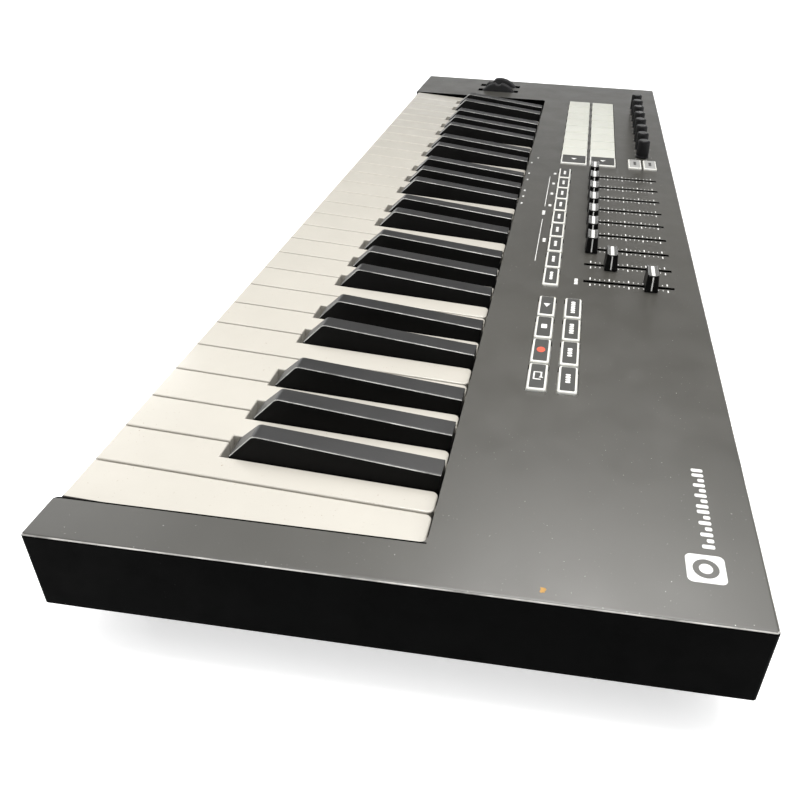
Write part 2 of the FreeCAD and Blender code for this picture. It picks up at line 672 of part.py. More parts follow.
def upper_case():
    """The one-piece top: panel, end cheeks, rear wall, front sill and inner walls."""
    half_x, half_y, wall = S.case_width / 2, S.case_depth / 2, S.case_wall
    outer = box("CaseBlock", (-half_x, -half_y, S.wall_bottom), (half_x, half_y, S.panel_top))
    cornered = fillet("CaseCorners", outer, S.case_corner_radius, upright)
    rounded = fillet("CaseEdges", cornered, S.case_edge_radius,
                     lambda e: level_at(e, S.panel_top.value))
    hollow = box("CaseHollow", (-half_x + wall, -half_y + wall, S.wall_bottom - 1),
                 (half_x - wall, half_y - wall, S.panel_top - wall))
    shell = cut("CaseShell", rounded, [hollow])
    left, right = across(S.opening_right + S.opening_length), across(S.opening_right)
    rear = along(S.opening_depth)
    above_rim = S.wall_bottom + S.rim_thick + S.lid_gap
    inner_walls = [
        box("CheekWallRight", (right, -half_y + wall / 2, above_rim),
            (right + wall, rear, S.panel_top - wall / 2)),
        box("CheekWallLeft", (left - wall, -half_y + wall / 2, above_rim),
            (left, rear, S.panel_top - wall / 2))]
    bosses = [cylinder("Boss%d" % i, (x, y, above_rim), S.boss_radius, S.panel_top - wall / 2 - above_rim)
              for i, (x, y) in enumerate(screw_places(), start=1)]
    standoffs = [cylinder("Standoff%d" % i, (x, y, S.board_bottom + S.board_thick), S.screw_head_radius,
                          S.panel_top - wall / 2 - S.board_bottom - S.board_thick)
                 for i, (x, y) in enumerate(board_places(), start=1)]
    cradle_y, cradle_z = along(S.wheel_depth_place), S.wheel_axis_height
    gap = S.wheel_width / 2 + S.wheel_gap
    rib_lines = [across(S.wheel_pitch_place) + gap, across(S.wheel_mod_place) + gap,
                 across(S.wheel_mod_place) - gap - S.cradle_thick]
    ribs = [box("Cradle%d" % i, (x, cradle_y - 10, cradle_z - 6),
                (x + S.cradle_thick, cradle_y + 10, S.panel_top - wall / 2))
            for i, x in enumerate(rib_lines, start=1)]
    axle = cylinder("WheelAxle", (rib_lines[2], cradle_y, cradle_z), S.axle_radius,
                    rib_lines[0] + S.cradle_thick - rib_lines[2], "x")
    body = fuse("CaseBody", [shell] + inner_walls + bosses + standoffs + ribs + [axle])

    opening = box("KeyOpening", (left, -half_y - 1, S.sill_top), (right, rear, S.panel_top + 1))
    tools = [fillet("KeyOpeningCorners", opening, S.opening_corner_radius,
                    lambda e, y=rear.value: upright(e) and abs(e.Vertexes[0].Point.y - y) < 1e-4)]
    panel_low, panel_high = S.panel_top - wall - S.cut_margin, S.panel_top + 1
    # The cheeks' front corners beside the keys are round.
    round_by = S.opening_corner_radius
    for side, start, middle in (("Right", right, right + round_by),
                                ("Left", left - round_by, left - round_by)):
        corner = box("Cheek%sCorner" % side, (start, -half_y - 1, S.sill_top),
                     (start + round_by, -half_y + round_by, panel_high))
        core = cylinder("Cheek%sCore" % side, (middle, -half_y + round_by, S.sill_top - 1),
                        round_by, panel_high - S.sill_top + 2)
        tools.append(cut("Cheek%sRound" % side, corner, [core]))
    for i, middle in enumerate(pad_places(), start=1):
        hole = raised("PadHole%dBlock" % i, middle, (S.pad_length, S.pad_depth), panel_low, panel_high,
                      S.button_gap)
        tools.append(fillet("PadHole%d" % i, hole, S.pad_edge_radius, upright))
    for title, places in button_groups().items():
        for i, (x, y, size) in enumerate(places, start=1):
            hole = raised("%sHole%dBlock" % (title, i), (x, y), size, panel_low, panel_high, S.button_gap)
            tools.append(fillet("%sHole%d" % (title, i), hole, S.pad_edge_radius, upright))
    for n in FADERS:
        x = fader_x(n)
        tools.append(box("FaderSlot%d" % n, (x - S.slot_width / 2, along(S.slot_front), panel_low),
                         (x + S.slot_width / 2, along(S.slot_front + S.slot_length), panel_high)))
    for n in KNOBS:
        tools.append(cylinder("KnobHole%d" % n, (knob_x(n), along(S.knob_row), panel_low),
                              S.knob_hole_radius, panel_high - panel_low))
    for title, u in (("PitchSlot", S.wheel_pitch_place), ("ModSlot", S.wheel_mod_place)):
        tools.append(box(title, (across(u) - gap, cradle_y - S.wheel_radius - 1, panel_low),
                         (across(u) + gap, cradle_y + S.wheel_radius + 1, panel_high)))
    wall_low, wall_high = half_y - wall - S.cut_margin, half_y + 1
    tools += [
        cylinder("JackHole", (across(S.jack_place), wall_low, S.socket_height), S.jack_side / 2 - 1,
                 wall_high - wall_low, "y"),
        cylinder("DinHole", (across(S.din_place), wall_low, S.socket_height), S.din_radius + 1,
                 wall_high - wall_low, "y"),
        box("UsbHole", (across(S.usb_place) - S.usb_side / 2, wall_low, S.socket_height - S.usb_side / 2),
            (across(S.usb_place) + S.usb_side / 2, wall_high, S.socket_height + S.usb_side / 2))]
    for i, (x, y) in enumerate(screw_places(), start=1):
        tools.append(cylinder("ScrewHole%d" % i, (x, y, S.wall_bottom), S.screw_radius + S.running_gap,
                              S.screw_length + 2))
    for i, (x, y) in enumerate(board_places(), start=1):
        tools.append(cylinder("BoardScrewHole%d" % i, (x, y, S.board_bottom), S.screw_radius + S.running_gap,
                              S.board_screw_length))
    return node(cut("upper_case", body, tools), "upper_case")


def lower_case():
    """The tapered tub, its rim inside the upper case's walls, and the bed posts."""
    half_x, half_y = S.case_width / 2, S.case_depth / 2
    rim_in = S.case_wall + S.lid_gap
    rim = box("Rim", (-half_x + rim_in, -half_y + rim_in, S.wall_bottom),
              (half_x - rim_in, half_y - rim_in, S.wall_bottom + S.rim_thick))
    top, low, wall = S.tub_inset_top, S.tub_inset_bottom, S.tub_wall
    tub = wedge("Tub", (-half_x + low, -half_y + low, S.foot_height),
                (half_x - low, half_y - low, S.wall_bottom),
                (-half_x + top, -half_y + top), (half_x - top, half_y - top))
    inner = wedge("TubHollow", (-half_x + low + wall, -half_y + low + wall, S.foot_height + wall),
                  (half_x - low - wall, half_y - low - wall, S.wall_bottom + S.rim_thick + 1),
                  (-half_x + top + wall, -half_y + top + wall), (half_x - top - wall, half_y - top - wall))
    shell = cut("TubShell", fuse("TubBody", [rim, tub]), [inner])
    posts = [cylinder("Post%d" % i, (x, y, S.foot_height + wall / 2), S.post_radius,
                      S.bed_bottom - S.foot_height - wall / 2)
             for i, (x, y) in enumerate(bed_posts(), start=1)]
    holes = [cylinder("RimHole%d" % i, (x, y, S.wall_bottom - 1), S.screw_radius + S.running_gap,
                      S.rim_thick + 2) for i, (x, y) in enumerate(screw_places(), start=1)]
    return node(cut("lower_case", fuse("LowerBody", [shell] + posts), holes), "lower_case")


def main_board():
    """The circuit board with slide pots, encoders and the rear sockets."""
    top = S.board_bottom + S.board_thick
    sheet_ = box("Board", (across(S.board_left), along(S.board_front), S.board_bottom),
                 (across(S.board_right), along(S.board_rear), top))
    holes = [cylinder("BoardHole%d" % i, (x, y, S.board_bottom - 1), S.screw_radius + S.screw_clearance,
                      S.board_thick + 2)
             for i, (x, y) in enumerate(board_places(), start=1)]
    pots, slots = [], []
    for n in FADERS:
        x, front = fader_x(n), along(S.slot_front)
        pots.append(box("Pot%d" % n, (x - S.pot_width / 2, front - S.pot_margin, top),
                        (x + S.pot_width / 2, front + S.slot_length + S.pot_margin, S.pot_top)))
        slots.append(box("PotSlot%d" % n, (x - S.slot_width / 2, front, top + S.pot_floor),
                         (x + S.slot_width / 2, front + S.slot_length, S.pot_top + 1)))
    encoders = []
    for n in KNOBS:
        x, y = knob_x(n), along(S.knob_row)
        encoders.append(raised("Encoder%d" % n, (x, y), (S.encoder_side, S.encoder_side), top, S.pot_top))
        slots.append(cylinder("EncoderBore%d" % n, (x, y, top + S.pot_floor),
                              S.encoder_shaft_radius + S.running_gap, S.pot_top - top))
    front, rear = along(S.socket_front), along(S.socket_rear)
    height = S.socket_height
    sockets, mouths = [], []
    for title, u, side in (("Jack", S.jack_place, S.jack_side), ("Din", S.din_place, S.din_side),
                           ("Usb", S.usb_place, S.usb_side)):
        sockets.append(box(title + "Shell", (across(u) - side / 2, front, height - side / 2),
                           (across(u) + side / 2, rear, S.board_bottom + S.socket_bite)))
    mouths.append(cylinder("JackBore", (across(S.jack_place), rear - S.jack_length, height), S.jack_radius,
                           S.jack_length + 1, "y"))
    mouths.append(cylinder("DinMouth", (across(S.din_place), rear - S.din_deep, height), S.din_radius,
                           S.din_deep + 1, "y"))
    mouths.append(box("UsbMouth", (across(S.usb_place) - S.usb_width / 2, rear - S.din_deep,
                                   height - S.usb_height / 2),
                      (across(S.usb_place) + S.usb_width / 2, rear + 1, height + S.usb_height / 2)))
    body = fuse("BoardBody", [sheet_] + pots + encoders + sockets)
    return node(cut("main_board", body, holes + slots + mouths), "main_board")


def feet():
    inset = S.foot_inset
    places = [(x, y) for x in (inset, S.case_width / 2, S.case_width - inset)
              for y in (inset, S.case_depth - inset)]
    return node(group("feet", [cylinder("Foot%d" % i, (across(x), along(y), 0), S.foot_radius, S.foot_height)
                               for i, (x, y) in enumerate(places, start=1)]), "feet")


def screws():
    """Case screws under the rim, and board screws under the board."""
    made = []
    for places, seat, length, tag in (
            (screw_places(), S.wall_bottom, S.screw_length, "CaseScrew"),
            (board_places(), S.board_bottom, S.board_screw_length, "BoardScrew")):
        for i, (x, y) in enumerate(places, start=1):
            head = cylinder("%sHead%d" % (tag, i), (x, y, seat - S.screw_head_height), S.screw_head_radius,
                            S.screw_head_height)
            shank = cylinder("%sShank%d" % (tag, i), (x, y, seat - 1), S.screw_radius, length + 1)
            made.append(fuse("%s%d" % (tag, i), [head, shank]))
    return node(group("screws", made), "screws")


upper_case()
lower_case()
key_frame()
main_board()
pad_mat()
button_mats()
feet()
screws()
for i in range(WHITE_COUNT):
    white_key(i)
for octave in range(1, OCTAVES + 1):
    black_comb(octave)
for n in FADERS:
    fader_cap(n)
for n in KNOBS:
    knob(n)
wheel("pitch_wheel", S.wheel_pitch_place, 0)
wheel("mod_wheel", S.wheel_mod_place, S.mod_lean.value)
doc.recompute()

failed = [o.Name for o in doc.Objects if "Invalid" in o.State or "Error" in o.State]
if failed:
    raise RuntimeError("objects that did not build: %s" % failed)
for obj in NODES:
    if obj.Shape.isNull() or not obj.Shape.isValid():
        raise RuntimeError("bad shape: %s" % obj.Label)
for obj in NODES:
    obj.Shape.exportStep("parts/%s.step" % obj.Label)
    size = obj.Shape.BoundBox
    print("%-14s solids %2d volume %10.1f  %7.2f %7.2f %6.2f  %7.2f %7.2f %6.2f" % (
        obj.Label, len(obj.Shape.Solids), obj.Shape.Volume, size.XMin, size.YMin, size.ZMin,
        size.XMax, size.YMax, size.ZMax))
print("nodes", len(NODES))
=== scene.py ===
import math
import random

import bmesh
import bpy
from mathutils import Matrix, Vector


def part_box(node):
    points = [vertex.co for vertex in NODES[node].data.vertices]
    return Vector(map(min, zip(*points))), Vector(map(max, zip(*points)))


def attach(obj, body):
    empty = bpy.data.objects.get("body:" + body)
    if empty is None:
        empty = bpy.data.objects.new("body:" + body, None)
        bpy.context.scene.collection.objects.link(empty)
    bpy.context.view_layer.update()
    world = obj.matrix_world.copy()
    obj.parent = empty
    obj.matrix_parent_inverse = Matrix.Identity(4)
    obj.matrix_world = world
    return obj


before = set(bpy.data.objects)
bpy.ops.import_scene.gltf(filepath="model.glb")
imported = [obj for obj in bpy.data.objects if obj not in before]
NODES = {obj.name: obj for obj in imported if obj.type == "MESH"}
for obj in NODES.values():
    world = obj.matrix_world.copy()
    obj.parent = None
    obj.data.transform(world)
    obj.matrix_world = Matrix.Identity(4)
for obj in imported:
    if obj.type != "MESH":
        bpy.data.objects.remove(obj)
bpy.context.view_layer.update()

# Looks for a 49-key controller keyboard. Shapes are drawn in millimetres and scaled to metres.
MM = 0.001
dice = random.Random(49)


def millimetres(node):
    """A CAD node's lowest and highest corners, in millimetres."""
    low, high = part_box(node)
    return low / MM, high / MM


CASE_LOW, CASE_HIGH = millimetres("upper_case")
PANEL = CASE_HIGH.z


def across(from_right):
    """X of a place given by its distance from the right-hand end."""
    return CASE_HIGH.x - from_right


def along(from_front):
    """Y of a place given by its distance from the front edge."""
    return CASE_LOW.y + from_front


# ---- materials --------------------------------------------------------------

class Graph:
    """A material's node tree, with short names for the nodes that the finishes share."""

    def __init__(self, name):
        self.material = bpy.data.materials.new(name)
        self.material.use_nodes = True
        self.tree = self.material.node_tree
        self.shader = self.tree.nodes["Principled BSDF"]
        self.place = self.add("TexCoord").outputs["Object"]

    def add(self, kind, **settings):
        made = self.tree.nodes.new("ShaderNode" + kind)
        for key, value in settings.items():
            setattr(made, key, value)
        return made

    def link(self, source, target):
        self.tree.links.new(source, target)

    def noise(self, scale, detail, rough):
        """Noise whose features are about 1 / scale metres across."""
        made = self.add("TexNoise")
        made.inputs["Scale"].default_value = scale
        made.inputs["Detail"].default_value = detail
        made.inputs["Roughness"].default_value = rough
        self.link(self.place, made.inputs["Vector"])
        return made.outputs["Fac"]

    def between(self, source, low, high, to_low, to_high):
        """The source's range from low to high, spread over another range and held at its ends."""
        made = self.add("MapRange")
        for key, value in (("From Min", low), ("From Max", high), ("To Min", to_low), ("To Max", to_high)):
            made.inputs[key].default_value = value
        self.link(source, made.inputs["Value"])
        return made.outputs["Result"]

    def times(self, a, b):
        made = self.add("Math", operation="MULTIPLY")
        self.link(a, made.inputs[0])
        self.link(b, made.inputs[1])
        return made.outputs["Value"]

    def mix(self, share, a, b):
        """Colour a where share is 0 and b where it is 1; each is a colour or a socket."""
        made = self.add("Mix", data_type="RGBA")
        self.link(share, made.inputs["Factor"])
        for key, value in (("A", a), ("B", b)):
            socket = [s for s in made.inputs if s.name == key and s.type == "RGBA"][0]
            if isinstance(value, bpy.types.NodeSocket):
                self.link(value, socket)
            else:
                socket.default_value = (*value, 1)
        return [s for s in made.outputs if s.type == "RGBA"][0]

    def bump(self, source, depth):
        """Relief of a depth in metres."""
        made = self.add("Bump")
        made.inputs["Distance"].default_value = depth
        self.link(source, made.inputs["Height"])
        return made.outputs["Normal"]


def finish(name, colour, roughness, grain, depth, shade=0.12, smudge_scale=14.0, rough_spread=0.08,
           specular=0.5, specks=None, coat=0.0, metal=0.0, subsurface=0.0):
    """A moulded or painted surface: uneven tone, uneven gloss, fine grain, and dust or dirt specks.

    grain is the relief's scale in features per metre; specks is (colour, scale, amount).
    """
    g = Graph(name)
    broad = g.noise(smudge_scale, 4.0, 0.6)
    dark = [c * (1 - shade) for c in colour]
    light = [min(1.0, c * (1 + shade)) for c in colour]
    tone = g.mix(g.between(broad, 0.3, 0.7, 0, 1), dark, light)
    if specks:
        speck_colour, scale, amount = specks
        fine = g.noise(scale, 2.0, 0.5)
        patchy = g.noise(scale / 30, 2.0, 0.5)
        share = g.times(g.between(fine, 1 - amount, 1 - amount + 0.05, 0, 1),
                        g.between(patchy, 0.4, 0.62, 0, 1))
        tone = g.mix(share, tone, speck_colour)
    g.link(tone, g.shader.inputs["Base Color"])
    wear = g.noise(smudge_scale * 5, 3.0, 0.6)
    g.link(g.between(wear, 0.3, 0.7, roughness - rough_spread, roughness + rough_spread),
           g.shader.inputs["Roughness"])
    relief = g.noise(grain, 2.0, 0.5)
    g.link(g.bump(relief, depth), g.shader.inputs["Normal"])
    g.shader.inputs["Specular IOR Level"].default_value = specular
    g.shader.inputs["Coat Weight"].default_value = coat
    g.shader.inputs["Coat Roughness"].default_value = 0.12
    g.shader.inputs["Metallic"].default_value = metal
    if subsurface:
        g.shader.inputs["Subsurface Weight"].default_value = subsurface
        g.shader.inputs["Subsurface Radius"].default_value = (1.0, 0.9, 0.7)
        g.shader.inputs["Subsurface Scale"].default_value = 0.001
    return g.material


DUST = (0.75, 0.75, 0.72)
DIRT = (0.28, 0.2, 0.13)

panel_paint = finish("panel_paint", (0.054, 0.052, 0.045), 0.36, 2600, 0.00002, shade=0.12,
                     smudge_scale=9, rough_spread=0.04, specular=0.85, specks=(DUST, 1000, 0.275))
# Painted highlight: a paler grey for the case's rounded top edge, where light would catch it.
panel_edge_highlight = finish("panel_edge_highlight", (0.45, 0.44, 0.42), 0.35, 2600, 0.00002, shade=0.6, smudge_scale=60)
case_black = finish("case_black", (0.0008, 0.0009, 0.0009), 0.5, 1800, 0.00003, specular=0.012,
                    specks=((0.012, 0.012, 0.012), 700, 0.25))
base_plastic = finish("base_plastic", (0.008, 0.008, 0.009), 0.55, 1200, 0.00005, specular=0.3)
key_white = finish("key_white", (0.56, 0.535, 0.48), 0.18, 300, 0.000012, shade=0.03, smudge_scale=22,
                   rough_spread=0.06, specks=(DIRT, 1100, 0.29), coat=0.3)
key_black = finish("key_black", (0.0045, 0.0045, 0.0045), 0.42, 1500, 0.000012, shade=0.3,
                   rough_spread=0.04, specular=0.7, specks=((0.12, 0.115, 0.11), 1300, 0.26))
# Painted shade: a darker, less shiny copy of the key plastic for the black keys' sides.
key_black_shaded_side = finish("key_black_shaded_side", (0.002, 0.002, 0.002), 0.5, 1500, 0.000012, shade=0.3,
                        specular=0.12, specks=((0.05, 0.048, 0.045), 1300, 0.24))
# Painted highlight: a paler grey for the black keys' rounded upper edges.
key_black_edge_highlight = finish("key_black_edge_highlight", (0.4, 0.4, 0.38), 0.22, 1500, 0.000012, shade=0.7,
                        smudge_scale=90, coat=0.5)
key_shade = finish("key_shade", (0.05, 0.045, 0.04), 0.5, 900, 0.00002, shade=0.3)
bed_plastic = finish("bed_plastic", (0.09, 0.075, 0.06), 0.6, 900, 0.00004)
silicone_white = finish("silicone_white", (0.68, 0.68, 0.64), 0.42, 2000, 0.00001, shade=0.04,
                        subsurface=0.15)
pad_white = finish("pad_white", (0.57, 0.575, 0.52), 0.45, 1500, 0.00002, shade=0.03, subsurface=0.2)
cap_black = finish("cap_black", (0.002, 0.002, 0.002), 0.35, 2200, 0.00002, specular=0.15)
# Painted sheen: a paler grey, glossier copy of the black cap plastic for the caps' dished tops and grip
# ridges.
cap_grip_sheen = finish("cap_grip_sheen", (0.16, 0.16, 0.155), 0.2, 2200, 0.00001, shade=0.3, coat=0.6)
knob_black = finish("knob_black", (0.0035, 0.0035, 0.004), 0.45, 2400, 0.00003, specular=0.2)
knob_top = finish("knob_top", (0.02, 0.02, 0.02), 0.3, 2400, 0.00001, shade=0.3, specular=0.5)
wheel_rubber = finish("wheel_rubber", (0.02, 0.02, 0.021), 0.7, 1800, 0.00004, specular=0.25)
foot_rubber = finish("foot_rubber", (0.015, 0.015, 0.015), 0.85, 1400, 0.00006, specular=0.2)
button_face = finish("button_face", (0.055, 0.055, 0.052), 0.5, 2600, 0.00002, shade=0.08,
                     specular=0.35, specks=(DUST, 1300, 0.24))
button_pale = finish("button_pale", (0.33, 0.33, 0.32), 0.5, 2600, 0.00002, shade=0.08, specular=0.35)
print_white = finish("print_white", (0.78, 0.78, 0.76), 0.5, 3000, 0.000005, shade=0.06)
print_dark = finish("print_dark", (0.03, 0.03, 0.03), 0.5, 3000, 0.000005, shade=0.06)
print_red = finish("print_red", (0.68, 0.1, 0.055), 0.45, 3000, 0.000005, shade=0.06)
board_green = finish("board_green", (0.012, 0.06, 0.03), 0.35, 1500, 0.00002, shade=0.25,
                     smudge_scale=60)
pot_steel = finish("pot_steel", (0.45, 0.45, 0.46), 0.38, 900, 0.00001, metal=0.9)
socket_black = finish("socket_black", (0.012, 0.012, 0.012), 0.4, 1800, 0.00002)
steel = finish("steel", (0.5, 0.5, 0.52), 0.3, 700, 0.00001, metal=1.0, shade=0.15)
screw_black = finish("screw_black", (0.035, 0.035, 0.037), 0.35, 900, 0.00001, metal=0.7)
chip_brown = finish("chip_brown", (0.42, 0.24, 0.07), 0.8, 1500, 0.00006, shade=0.3, smudge_scale=600)


def dress(node, *materials, choose=None):
    """Give a CAD node its materials; choose(polygon) returns a material's index."""
    mesh = NODES[node].data
    mesh.materials.clear()
    for material in materials:
        mesh.materials.append(material)
    for polygon in mesh.polygons:
        polygon.material_index = choose(polygon) if choose else 0


# ---- shapes -----------------------------------------------------------------

def piece(name, body, material, shapes, bevel=0.0):
    """One mesh piece from a list of functions that each add to a bmesh, riding on a CAD body."""
    bm = bmesh.new()
    for shape in shapes:
        shape(bm)
    bmesh.ops.recalc_face_normals(bm, faces=bm.faces)
    mesh = bpy.data.meshes.new(name)
    bm.to_mesh(mesh)
    bm.free()
    mesh.transform(Matrix.Scale(MM, 4))
    mesh.materials.append(material)
    made = bpy.data.objects.new(name, mesh)
    bpy.context.scene.collection.objects.link(made)
    if bevel:
        edge = made.modifiers.new("Edges", "BEVEL")
        edge.width = bevel * MM
        edge.segments = 2
        edge.limit_method = "ANGLE"
        edge.angle_limit = math.radians(40)
    mesh.shade_smooth()
    mesh.set_sharp_from_angle(angle=math.radians(35))
    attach(made, body)
    return made


def prism(points, low, high, matrix=None):
    """A closed outline pushed from low to high along Z, then placed by a matrix."""
    def add(bm):
        foot, top = [[bm.verts.new((x, y, z)) for x, y in points] for z in (low, high)]
        bm.faces.new(foot[::-1])
        bm.faces.new(top)
        for i in range(len(points)):
            after = (i + 1) % len(points)
            bm.faces.new((foot[i], foot[after], top[after], top[i]))
        if matrix:
            bmesh.ops.transform(bm, matrix=matrix, verts=foot + top)
    return add


def frame_of(outer, inner, low, high, matrix=None):
    """A closed band between two outlines with as many points each, pushed from low to high."""
    def add(bm):
        loops = [[bm.verts.new((x, y, z)) for x, y in points]
                 for points, z in ((outer, low), (outer, high), (inner, high), (inner, low))]
        for a, b in zip(loops, loops[1:] + loops[:1]):
            for i in range(len(outer)):
                after = (i + 1) % len(outer)
                bm.faces.new((a[i], a[after], b[after], b[i]))
        if matrix:
            bmesh.ops.transform(bm, matrix=matrix, verts=[v for loop in loops for v in loop])
    return add


def rounded(cx, cy, width, depth, radius, steps=4):
    """The outline of a rounded rectangle, anticlockwise."""
    points = []
    for turn, (sx, sy) in enumerate(((1, 1), (-1, 1), (-1, -1), (1, -1))):
        mx, my = cx + sx * (width / 2 - radius), cy + sy * (depth / 2 - radius)
        for k in range(steps + 1):
            angle = math.radians(90 * turn + 90 * k / steps)
            points.append((mx + radius * math.cos(angle), my + radius * math.sin(angle)))
    return points


def circle(cx, cy, radius, count=32):
    return [(cx + radius * math.cos(math.tau * k / count), cy + radius * math.sin(math.tau * k / count))
            for k in range(count)]


def block(low, high, radius=0.0):
    """A box between two corners, with rounded upright edges if a radius is given."""
    width, depth = high[0] - low[0], high[1] - low[1]
    cx, cy = (low[0] + high[0]) / 2, (low[1] + high[1]) / 2
    if radius:
        return prism(rounded(cx, cy, width, depth, radius), low[2], high[2])
    half_w, half_d = width / 2, depth / 2
    return prism([(cx - half_w, cy - half_d), (cx + half_w, cy - half_d),
                  (cx + half_w, cy + half_d), (cx - half_w, cy + half_d)], low[2], high[2])


def bars(cx, cy, widths, height, gap, low, high, radius=None, matrix=None):
    """A row of rounded bars standing for a short word, centred on a place."""
    total = sum(widths) + gap * (len(widths) - 1)
    made, start = [], -total / 2
    for width in widths:
        corner = radius or min(width, height) * 0.35
        outline = rounded(cx + start + width / 2, cy, width, height, corner, 2)
        made.append(prism(outline, low, high, matrix))
        start += width + gap
    return made


# ---- finishes of the CAD nodes ----------------------------------------------

# Edges painted paler as a highlight are the faces whose upward slant is in this range: on the case those
# near the panel's level, and on a black key those that also lean sideways.
EDGE_FACING = (0.55, 0.84)
EDGE_LEVEL = (PANEL - 1.25) * MM
SIDEWAYS = 0.3
# Knob tops and cap tops lie over these levels.
KNOB_LEVEL, CAP_LEVEL = (PANEL + 5) * MM, (PANEL + 8) * MM
# Levels just under and just over the circuit board, and a line just in front of the rear sockets.
UNDER_BOARD, OVER_BOARD = 51.9 * MM, 53.7 * MM
SOCKET_LINE = along(238.9) * MM


def case_part(polygon):
    """The painted panel, a paler strip on its rounded edge painted as a highlight, and the black sides."""
    if polygon.center.z < EDGE_LEVEL or polygon.normal.z < EDGE_FACING[0]:
        return 1
    return 0 if polygon.normal.z > EDGE_FACING[1] else 2


def comb_part(polygon):
    """A black key's top, its long upper edges painted paler as a highlight, and its sides painted darker
    and duller as shade.
    """
    if abs(polygon.normal.x) <= SIDEWAYS or polygon.normal.z >= EDGE_FACING[1]:
        return 0
    return 2 if polygon.normal.z < EDGE_FACING[0] else 1


def knob_part(polygon):
    """A knob's flat top is smoother than its side."""
    return 1 if polygon.normal.z > 0.9 and polygon.center.z > KNOB_LEVEL else 0


def cap_part(polygon):
    """A fader cap's dished top has a glossier finish and is painted paler grey as sheen."""
    return 1 if polygon.normal.z > 0.75 and polygon.center.z > CAP_LEVEL else 0


def painted_shade_part(polygon):
    """A key's side that faces the right-hand end, which takes the painted shade."""
    return 1 if polygon.normal.x > 0.5 else 0


def board_part(polygon):
    """Green board, steel pots and encoders on it, black socket shells behind and below."""
    if polygon.center.z > OVER_BOARD:
        return 1
    return 2 if polygon.center.y > SOCKET_LINE and polygon.center.z < UNDER_BOARD else 0


dress("upper_case", panel_paint, case_black, panel_edge_highlight, choose=case_part)
dress("lower_case", base_plastic)
dress("key_frame", bed_plastic)
dress("main_board", board_green, pot_steel, socket_black, choose=board_part)
dress("feet", foot_rubber)
dress("screws", screw_black)
dress("pad_mat", pad_white)
dress("button_mats", silicone_white)
dress("pitch_wheel", wheel_rubber)
dress("mod_wheel", wheel_rubber)
FAMILIES = (("white_", [key_white], None),
            ("black_comb", [key_black, key_black_edge_highlight, key_black_shaded_side], comb_part),
            ("fader_cap", [cap_black, cap_grip_sheen], cap_part),
            ("knob_", [knob_black, knob_top], knob_part))
for label in NODES:
    for start, materials, choose in FAMILIES:
        if label.startswith(start):
            dress(label, *materials, choose=choose)

# Painted shade: the last key's outer side is coloured dark for the shadow in the narrow gap beside the
# case.
dress("white_c5", key_white, key_shade, choose=painted_shade_part)

# ---- buttons ----------------------------------------------------------------

BUTTON_TOP = millimetres("button_mats")[1].z
PITCH = 25
PLATE_RISE = 0.15
PRINT_RISE = 0.06
PLATE_TOP = BUTTON_TOP + PLATE_RISE
BUTTON_INK = (PLATE_TOP - 0.02, PLATE_TOP + PRINT_RISE)
BUTTON_LENGTH, BUTTON_DEPTH, SIDE_DEPTH = 23.4, 9.2, 10.8
PAD_DEPTH = 21.6
RIM = 1.15
TRANSPORT_FIRST, TRANSPORT_ROWS = 138.2, (170.8, 185.1)
FADER_FIRST, FADER_BUTTON_ROW = 252.5, 171
SIDE_COLUMN = 492.5
SIDE_ROWS = ((177, PAD_DEPTH), (201, PAD_DEPTH), (227.6, SIDE_DEPTH), (240, SIDE_DEPTH))

transport = [(across(TRANSPORT_FIRST + PITCH * i), along(row)) for row in TRANSPORT_ROWS for i in range(4)]
fader_buttons = [(across(FADER_FIRST + PITCH * i), along(FADER_BUTTON_ROW)) for i in range(9)]
side_buttons = [(across(SIDE_COLUMN), along(row), depth) for row, depth in SIDE_ROWS]


def plate(x, y, depth):
    """The dark face let into a button's white rubber."""
    return prism(rounded(x, y, BUTTON_LENGTH - 2 * RIM, depth - 2 * RIM, 0.7),
                 BUTTON_TOP - 0.1, PLATE_TOP)


piece("button_faces", "buttons", button_face,
      [plate(x, y, BUTTON_DEPTH) for x, y in transport + fader_buttons] +
      [plate(x, y, depth) for x, y, depth in side_buttons if depth == PAD_DEPTH], bevel=0.06)
piece("button_faces_pale", "buttons", button_pale,
      [plate(x, y, depth) for x, y, depth in side_buttons if depth == SIDE_DEPTH], bevel=0.06)


def marked(points):
    """A printed shape on a button's face."""
    return prism(points, *BUTTON_INK)


def arrow(x, y, back, tip, half):
    """A triangle that points along X."""
    return marked([(x - back, y - half), (x + tip, y), (x - back, y + half)])


def loop_icon(x, y):
    """A rectangle with an open corner and an arrow head, for repeat."""
    width, depth, line = 6.4, 3.4, 0.7
    head_length, head_half = 1.7, 1.1
    far_y = y + depth / 2
    sides = [(x - width / 2, y, line, depth), (x + width / 2, y, line, depth),
             (x, y - depth / 2, width + line, line), (x - width / 4, far_y, width / 2 + line, line)]
    shapes = [marked(rounded(*side, 0.2, 2)) for side in sides]
    head_x = x + width / 4
    shapes.append(marked([(head_x, far_y - head_half), (head_x, far_y + head_half),
                          (head_x - head_length, far_y)]))
    return shapes


